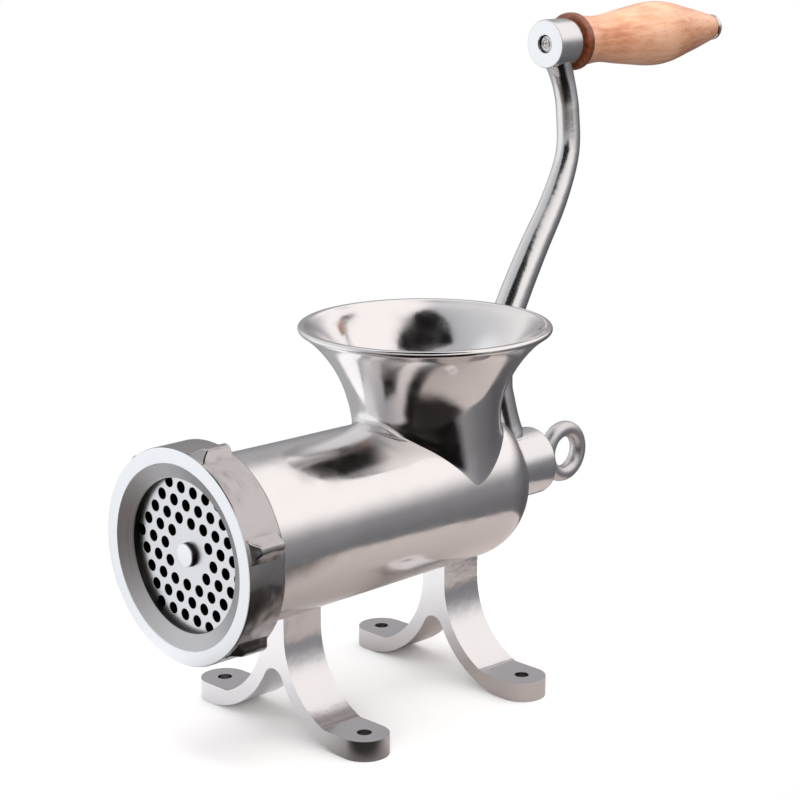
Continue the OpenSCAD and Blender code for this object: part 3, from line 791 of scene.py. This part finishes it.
modify(flight, "SCREW", axis="Y", object=screw_axis, angle=turns * 2 * math.pi,
    screw_offset=turns * flight_pitch * mm, steps=int(turns * 56), render_steps=int(turns * 56),
    use_normal_calculate=True)
bpy.data.objects.remove(screw_axis)
pick(flight, "VERT", lambda vertex: True)
bpy.ops.mesh.remove_doubles(threshold=1e-6)
bpy.ops.mesh.fill_holes(sides=0)
bpy.ops.mesh.select_all(action="SELECT")
bpy.ops.mesh.normals_make_consistent(inside=False)
bpy.ops.transform.rotate(value=math.radians(-90), orient_axis="Y",
    center_override=on_barrel(0, 0))
bpy.ops.object.mode_set(mode="OBJECT")
smooth(flight, 40)

# Cast stainless, tumbled: matt, grey and pebbled at about half a millimetre.
cast_steel, tree, shader = new_material("tumbled_cast_stainless", {
    "Base Color": linear("#A9A6A4"), "Metallic": 1.0, "Roughness": 0.36})
place = wire(tree, "TexCoord").outputs["Object"]
bump(tree, shader, noise(tree, place, 1500.0, 3.0), 0.2, 0.0003)
core = join("feed_screw_cast", square_bar(tang, journal_end_s, tang_end_s), flight, core)
fit(core, "crank", "cast_stainless", cast_steel)
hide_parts("feed_screw")

# Bronze, nearly hidden, painted near black: only its flange shows, as a painted shade line in the
# gap by the hub.
gap_shade_bronze, tree, shader = new_material("bronze_painted_gap_shade", {
    "Base Color": linear("#2B2420"), "Metallic": 1.0, "Roughness": 0.45})
nylon, tree, shader = new_material("moulded_nylon", {
    "Base Color": linear("#E4DECF"), "Roughness": 0.5})
# The knife behind the plate is painted dark, as shade.
for name, finish in (("rear_bush", gap_shade_bronze), ("thrust_washer", nylon),
        ("plate_key_pin", ground_steel), ("grip_washer", ground_steel),
        ("cutter_knife", recess_shade_steel)):
    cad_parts[name].data.materials.clear()
    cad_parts[name].data.materials.append(finish)


# ---- Crank: hub, curved tapered arm and boss in one forging ----
# A stainless forging: a round bar that swells into a hub with a square hole, and into
# the boss that carries the grip. It is ground and buffed, and its ends are faced.

grip_low, grip_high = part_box("wooden_grip")
grip_x = (grip_low.x + grip_high.x) / 2
grip_z = (grip_low.z + grip_high.z) / 2
arm_reach = Vector((grip_x, 0, grip_z - axis_z))
hub_s = (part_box("rear_bush")[1].y - front_y) / mm + 0.1
hub_r = 15.8
hub_l = 23.6
boss_r = 11.3
boss_l = 15.0
crank_offset = 52.9
hub_mid_s = hub_s + hub_l / 2
boss_s = hub_mid_s + crank_offset - boss_l / 2
rivet_recess = 2.0
bolt_r = 4.0


def on_grip(r, s):
    """A point above the grip axis, at a radius and a station."""
    return Vector((grip_x, front_y + s * mm, grip_z + r * mm))


# The arm's centre line: distance from the barrel axis, distance behind the hub's middle
# and radius. The first and last few swell into the fillets at the hub and the boss.
arm_path = [(7.0, -3.4, 8.3), (13.5, -3.9, 8.3), (16.5, -4.4, 8.0), (19.5, -4.9, 7.7),
    (24.0, -5.6, 7.45), (31.0, -6.6, 7.35), (40.0, -7.1, 7.3), (59.0, -2.6, 7.3), (76.5, 8.7, 7.2),
    (97.5, 24.9, 6.8), (118.6, 42.3, 6.2), (139.6, 54.5, 5.6), (158.8, 57.1, 5.5),
    (168.5, 56.7, 5.45), (176.0, 55.3, 5.7), (182.0, 53.9, 6.5), (186.0, 53.0, 7.0)]


def smoothed(points, steps):
    """Points of a smooth curve through a row of points, with steps between neighbours."""
    made = []
    for i in range(len(points) - 1):
        around = [points[max(i - 1, 0)], points[i], points[i + 1],
            points[min(i + 2, len(points) - 1)]]
        for k in range(steps):
            t = k / steps
            made.append(tuple(0.5 * (2 * b + (c - a) * t + (2 * a - 5 * b + 4 * c - d) * t * t
                + (3 * b - a - 3 * c + d) * t ** 3) for a, b, c, d in zip(*around)))
    return made + [tuple(points[-1])]


arm_curve = bpy.data.curves.new("crank_arm_line", "CURVE")
arm_curve.dimensions = "3D"
arm_curve.bevel_depth = mm
arm_curve.bevel_resolution = 10
arm_curve.use_fill_caps = True
line = arm_curve.splines.new("POLY")
stations = smoothed(arm_path, 6)
line.points.add(len(stations) - 1)
for point, (reach, offset, r) in zip(line.points, stations):
    spot = on_barrel(0, hub_mid_s + offset) + arm_reach.normalized() * reach * mm
    point.co = (spot.x, spot.y, spot.z, 1)
    point.radius = r
arm = bpy.data.objects.new("crank_arm_bar", arm_curve)
bpy.context.scene.collection.objects.link(arm)
only(arm)
bpy.ops.object.convert(target="MESH")
arm = bpy.context.object
pick(arm, "VERT", lambda vertex: True)
bpy.ops.mesh.remove_doubles(threshold=1e-6)
bpy.ops.mesh.normals_make_consistent(inside=False)
bpy.ops.object.mode_set(mode="OBJECT")
smooth(arm, 50)

hub_outline = [(7.6, hub_s + 0.4), (8.0, hub_s), (hub_r - 1.2, hub_s), (hub_r - 0.5, hub_s + 0.15),
    (hub_r - 0.1, hub_s + 0.6), (hub_r, hub_s + 1.2), (hub_r, hub_s + hub_l - 1.4),
    (hub_r - 0.15, hub_s + hub_l - 0.7), (hub_r - 0.6, hub_s + hub_l - 0.2),
    (hub_r - 1.4, hub_s + hub_l), (8.0, hub_s + hub_l), (7.6, hub_s + hub_l - 0.4),
    (7.6, hub_s + 0.4)]
hub = turn("crank_hub", [on_barrel(r, s) for r, s in hub_outline], on_barrel(0, 0), (0, 1, 0), 96)
smooth(hub, 40)
boss_outline = [(0, boss_s + rivet_recess + 1.2), (bolt_r + 0.2, boss_s + rivet_recess + 1.2),
    (bolt_r + 0.2, boss_s + 0.25), (bolt_r + 0.45, boss_s), (boss_r - 0.7, boss_s),
    (boss_r - 0.2, boss_s + 0.2), (boss_r, boss_s + 0.7), (boss_r, boss_s + boss_l - 0.7),
    (boss_r - 0.2, boss_s + boss_l - 0.2), (boss_r - 0.7, boss_s + boss_l), (0, boss_s + boss_l)]
boss = turn("crank_boss", [on_grip(r, s) for r, s in boss_outline],
    on_grip(0, 0), (0, 1, 0), 96)
smooth(boss, 40)
arm = join("crank_forged", hub, boss, arm)
fit(arm, "crank", "polished_stainless", forged_steel, faced_steel, recess_shade_steel)
for face in arm.data.polygons:
    ahead = (face.center.y - front_y) / mm
    if abs(face.normal.y) > 0.95 and min(abs(ahead - boss_s), abs(ahead - hub_s - hub_l)) < 0.1:
        face.material_index = 1
    # Painted shade: the hub's front face is dark, for the shaded gap by the dome.
    elif face.normal.y < -0.95 and abs(ahead - hub_s) < 0.1:
        face.material_index = 2
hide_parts("crank_arm")


# ---- Eye screw: the ring-headed screw that draws the crank onto the screw's tang ----
# A forged stainless eye on a flanged shank. The ring is left satin from tumbling.

eye_r = 14.6
eye_bar_r = 3.8
hub_end_s = hub_s + hub_l
eye_s = hub_end_s + 3.0 + 3.5 + eye_r

satin_forging, tree, shader = new_material("tumbled_forged_stainless", {
    "Base Color": linear("#CDCBCB"), "Metallic": 1.0, "Roughness": 0.36})
place = wire(tree, "TexCoord").outputs["Object"]
bump(tree, shader, noise(tree, place, 900.0, 4.0), 0.12, 0.0003)

bpy.ops.object.select_all(action="DESELECT")
bpy.ops.mesh.primitive_torus_add(major_radius=(eye_r - eye_bar_r) * mm,
    minor_radius=eye_bar_r * mm, major_segments=96, minor_segments=28,
    location=on_barrel(0, eye_s), rotation=(0, math.pi / 2, 0))
eye = bpy.context.object
bpy.ops.object.transform_apply()
smooth(eye, 60)
neck_outline = [(0, hub_end_s + 0.1), (10.4, hub_end_s + 0.1), (11.0, hub_end_s + 0.7),
    (11.0, hub_end_s + 2.4), (10.4, hub_end_s + 3.0), (6.6, hub_end_s + 3.05),
    (5.4, hub_end_s + 3.5), (4.5, hub_end_s + 4.6), (3.9, hub_end_s + 6.2),
    (3.4, hub_end_s + 8.4), (0, hub_end_s + 9.2)]
neck = turn("eye_neck", [on_barrel(r, s) for r, s in neck_outline], on_barrel(0, 0), (0, 1, 0), 64)
smooth(neck, 45)
eye = join("eye_screw_forged", neck, eye)
fit(eye, "eye", "forged_stainless", satin_forging)
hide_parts("eye_screw")


# ---- Grip: turned beech on a bolt that is riveted into the boss ----
# The grip is turned from beech, stained, varnished and left free to spin. A dark stained
# collar keeps it off the boss, and the bolt's domed head is nickel plated.

grip_l = 106.0
grip_r = 15.48
grip_neck_r = 11.0
grip_end_r = 6.2
collar_r = 13.6
collar_l = 4.6
bolt_head_r = 6.3
bolt_head_h = 4.19
collar_s = (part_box("grip_collar")[0].y - front_y) / mm
wood_s = collar_s + collar_l
wood_l = grip_l - collar_l

wood_profile = smoothed([(grip_neck_r + 1.4, 0), (grip_neck_r, 0.15 * wood_l),
    (grip_neck_r + 0.5 * (grip_r - grip_neck_r), 0.33 * wood_l), (grip_r, 0.58 * wood_l),
    (grip_r - 0.45 * (grip_r - grip_end_r), 0.8 * wood_l), (grip_end_r, wood_l)], 7)
wood_outline = [(bolt_r + 0.1, 0.0), (grip_neck_r + 1.0, 0.0)]
wood_outline += [(r, s) for r, s in wood_profile if 0.5 < s < wood_l - 0.6]
wood_outline += [(grip_end_r + 0.1, wood_l - 0.6), (grip_end_r - 0.35, wood_l - 0.1),
    (grip_end_r - 0.9, wood_l), (bolt_r + 0.1, wood_l), (bolt_r + 0.1, 0.0)]
wood = turn("wooden_grip_turned", [on_grip(r, wood_s + s) for r, s in wood_outline],
    on_grip(0, 0), (0, 1, 0), 96)
smooth(wood, 40)

# Varnished beech: warm orange brown, with fibres along the grip, pores drawn out to
# about 3 mm by 0.3 mm, broad darker and redder patches, and a soft coat of varnish.
beech, tree, shader = new_material("varnished_stained_beech", {
    "Roughness": 0.4, "Coat Weight": 0.6, "Coat Roughness": 0.2, "Specular IOR Level": 0.4})
place = wire(tree, "TexCoord").outputs["Object"]
fibre_space, pore_space = [wire(tree, "Mapping", {"Location": (-grip_x, 0, -grip_z),
    "Scale": (1, drawn, 1)}, {"Vector": place}).outputs["Vector"] for drawn in (0.09, 0.12)]
fibres = noise(tree, fibre_space, 420.0, 5.0, Roughness=0.65)
soft = wire(tree, "Math", {"operation": "MULTIPLY", 1: 0.5}, {0: noise(tree, place, 34.0, 2.0)})
blend = wire(tree, "Math", {"operation": "MULTIPLY_ADD", 1: 0.55},
    {0: fibres, 2: soft.outputs["Value"]})
tone = colour_stops(wire(tree, "ValToRGB", {}, {"Fac": blend.outputs["Value"]}), [
    (0.30, linear("#BF714B")), (0.45, linear("#E09E78")), (0.58, linear("#F2B995")),
    (0.75, linear("#FBCDAF"))])
pore_mask = wire(tree, "MapRange", {"From Min": 0.60, "From Max": 0.72, "To Max": 0.32},
    {"Value": noise(tree, pore_space, 1500.0, 2.0)}).outputs["Result"]
pored = mixed(tree, pore_mask, tone.outputs["Color"], linear("#9A5B38"), blend_type="MULTIPLY")
tree.links.new(pored, shader.inputs["Base Color"])
bump(tree, shader, pore_mask, 0.15, 0.0002, invert=True)
fit(wood, "grip", "varnished_beech", beech)
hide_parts("wooden_grip")

collar_outline = [(bolt_r + 0.1, 0), (collar_r - 1.2, 0), (collar_r - 0.5, 0.2),
    (collar_r - 0.1, 0.8), (collar_r, 1.6), (collar_r, collar_l - 1.6),
    (collar_r - 0.1, collar_l - 0.8), (collar_r - 0.5, collar_l - 0.2),
    (collar_r - 1.2, collar_l), (bolt_r + 0.1, collar_l), (bolt_r + 0.1, 0)]
collar = turn("grip_collar_turned", [on_grip(r, collar_s + s) for r, s in collar_outline],
    on_grip(0, 0), (0, 1, 0), 96)
smooth(collar, 40)

# Dark stained end grain: red brown, with short pores and a harder gloss.
dark_beech, tree, shader = new_material("dark_stained_beech", {
    "Roughness": 0.4, "Coat Weight": 0.5, "Coat Roughness": 0.18})
place = wire(tree, "TexCoord").outputs["Object"]
tone = colour_stops(wire(tree, "ValToRGB", {}, {"Fac": noise(tree, place, 500.0, 4.0)}), [
    (0.3, linear("#59270F")), (0.7, linear("#8F4A26"))])
tree.links.new(tone.outputs["Color"], shader.inputs["Base Color"])
fit(collar, "grip", "stained_beech", dark_beech)
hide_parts("grip_collar")

# The bolt: a domed head at the free end, and the end hammered over in the boss.
head_s = wood_s + wood_l + 0.1
rivet_s = boss_s + 1.0
bolt_outline = [(0, rivet_s + 0.7), (0.5, rivet_s + 0.6), (0.9, rivet_s + 0.1),
    (1.3, rivet_s), (1.8, rivet_s + 0.15), (2.1, rivet_s + 0.45), (2.5, rivet_s + 0.2),
    (3.1, rivet_s + 0.15), (3.7, rivet_s + 0.4), (bolt_r, rivet_s + 1.0), (bolt_r, head_s),
    (bolt_head_r - 0.4, head_s), (bolt_head_r, head_s + 0.4)]
bolt_outline += [(r, head_s + bolt_head_h * 0.42 + s) for s, r in
    [(bolt_head_h * 0.58 * math.sin(math.radians(a)), bolt_head_r * math.cos(math.radians(a)))
    for a in range(0, 90, 9)]]
bolt_outline += [(0, head_s + bolt_head_h)]
head = turn("grip_bolt_plated", [on_grip(r, s) for r, s in bolt_outline],
    on_grip(0, 0), (0, 1, 0), 64)
smooth(head, 40)

# Nickel plate over steel, hammered where the end is riveted.
nickel, tree, shader = new_material("nickel_plated_steel", {
    "Base Color": linear("#D8D4CE"), "Metallic": 1.0, "Roughness": 0.12})
hammered, tree, shader = new_material("hammered_nickel", {
    "Base Color": linear("#DCDBDA"), "Metallic": 1.0, "Roughness": 0.34})
place = wire(tree, "TexCoord").outputs["Object"]
blows = wire(tree, "TexVoronoi", {"Scale": 1400.0}, {"Vector": place})
bump(tree, shader, blows.outputs["Distance"], 0.7, 0.0003)
fit(head, "crank", "nickel_plated_steel", nickel, hammered)
for face in head.data.polygons:
    if face.center.y < front_y + (boss_s + 8) * mm:
        face.material_index = 1
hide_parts("grip_bolt")
